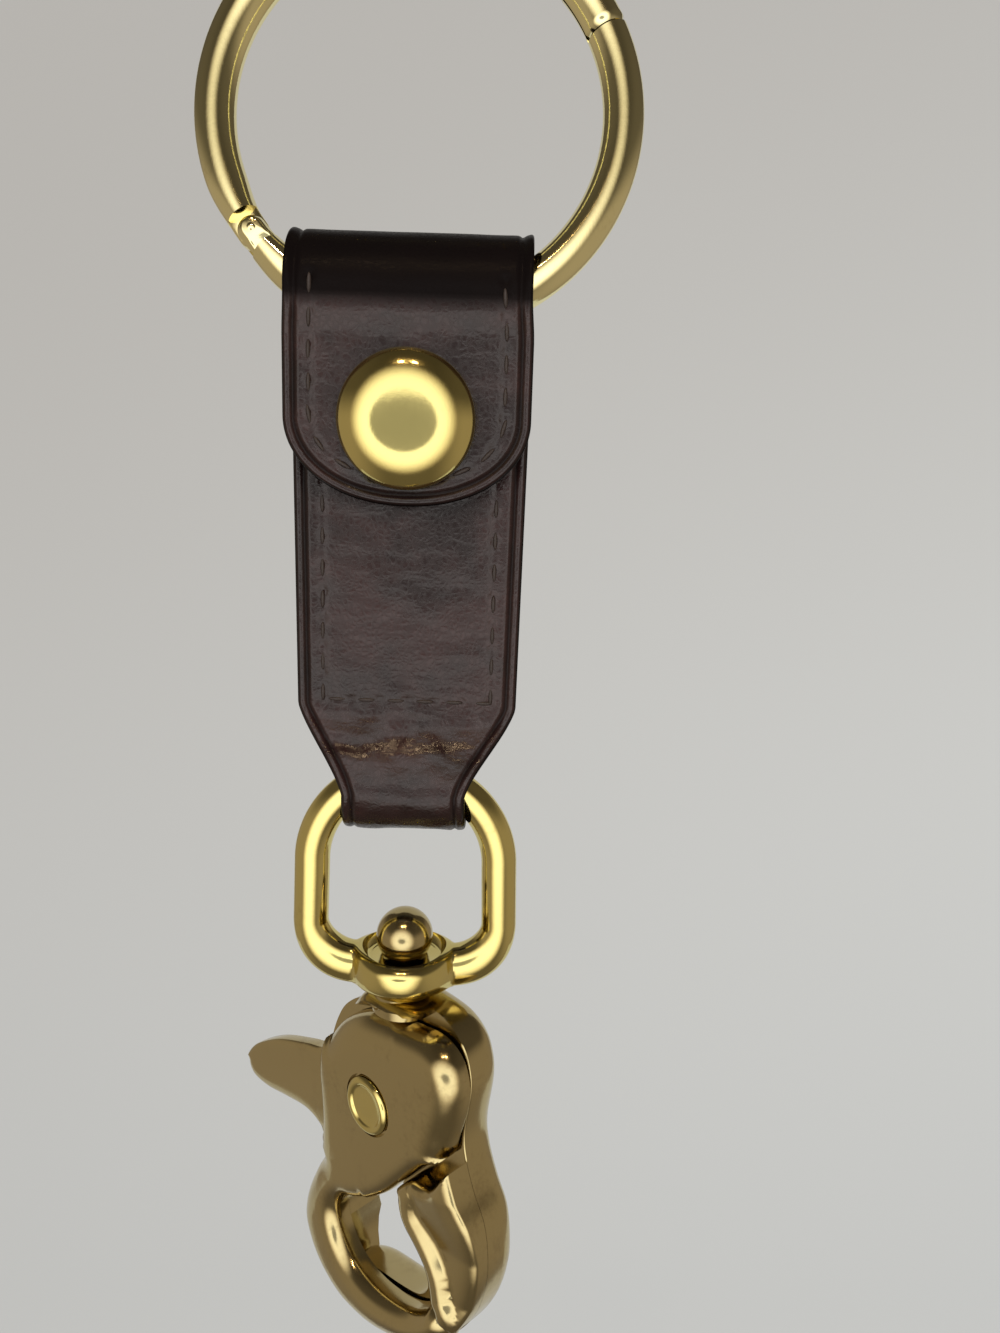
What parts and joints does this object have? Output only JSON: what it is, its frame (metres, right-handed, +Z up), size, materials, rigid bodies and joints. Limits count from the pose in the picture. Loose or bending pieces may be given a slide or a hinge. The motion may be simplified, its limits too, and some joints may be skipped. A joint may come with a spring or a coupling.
{
  "type": "leather key holder",
  "caption": "Folded leather strap with a press stud, hanging from a hinged brass ring and carrying a lever-opened snap hook on a swivel eye.",
  "frame": {"origin": "inside top of the ring, where a finger, belt loop or peg carries the whole key holder", "axes": "+Z up against the hang of the strap, -Y towards the side with the flap and its stud cap, +X to the right seen from there"},
  "size_m": [0.0473, 0.033, 0.1679],
  "materials": {
    "polished_brass": "polished",
    "worn_brass": "polished, darkened by handling",
    "brown_leather": "waxed pull-up leather, dark brown",
    "lining_leather": "plain, matt",
    "spring_steel": "drawn wire"
  },
  "bodies": {
    "ring_upper": {"ring_upper_half": "polished_brass", "ring_hinge_pin": "worn_brass"},
    "ring_lower": {"ring_lower_half": "polished_brass"},
    "strap": {"strap_leather": "brown_leather", "strap_filler": "lining_leather", "stud_base": "polished_brass", "stud_post": "polished_brass"},
    "flap": {"flap_leather": "brown_leather", "flap_lining": "lining_leather", "stud_cap": "polished_brass", "stud_socket": "polished_brass"},
    "eye": {"swivel_eye": "polished_brass"},
    "hook": {"hook_fixed_half": "worn_brass", "hook_rivet": "polished_brass", "hook_spring": "spring_steel"},
    "lever": {"hook_lever_half": "worn_brass"}
  },
  "joints": [
    {"name": "ring_gate", "type": "hinge", "parent": "ring_upper", "child": "ring_lower", "pos_m": [-0.01671, -0.00667, -0.0314], "axis": [0, 0.9781, -0.2079], "range_deg": [0, 45]},
    {"name": "strap_swing", "type": "hinge", "parent": "ring_lower", "child": "strap", "pos_m": [0, -0.00796, -0.03745], "axis": [1, 0, 0], "range_deg": [-90, 90]},
    {"name": "flap_open", "type": "hinge", "parent": "strap", "child": "flap", "pos_m": [0, -0.0013, -0.03745], "axis": [-1, 0, 0], "range_deg": [0, 100]},
    {"name": "eye_swing", "type": "hinge", "parent": "strap", "child": "eye", "pos_m": [0, -0.00796, -0.09025], "axis": [1, 0, 0], "range_deg": [-50, 50]},
    {"name": "hook_swivel", "type": "hinge", "parent": "eye", "child": "hook", "pos_m": [0, -0.00796, -0.10912], "axis": [0, 0, 1], "continuous": true},
    {"name": "hook_lever", "type": "hinge", "parent": "hook", "child": "lever", "pos_m": [-0.00088, -0.00714, -0.13032], "axis": [0.682, 0.7314, 0], "range_deg": [0, 22], "stiffness_Nm_per_rad": 0.3, "springref_deg": -22.92}
  ]
}
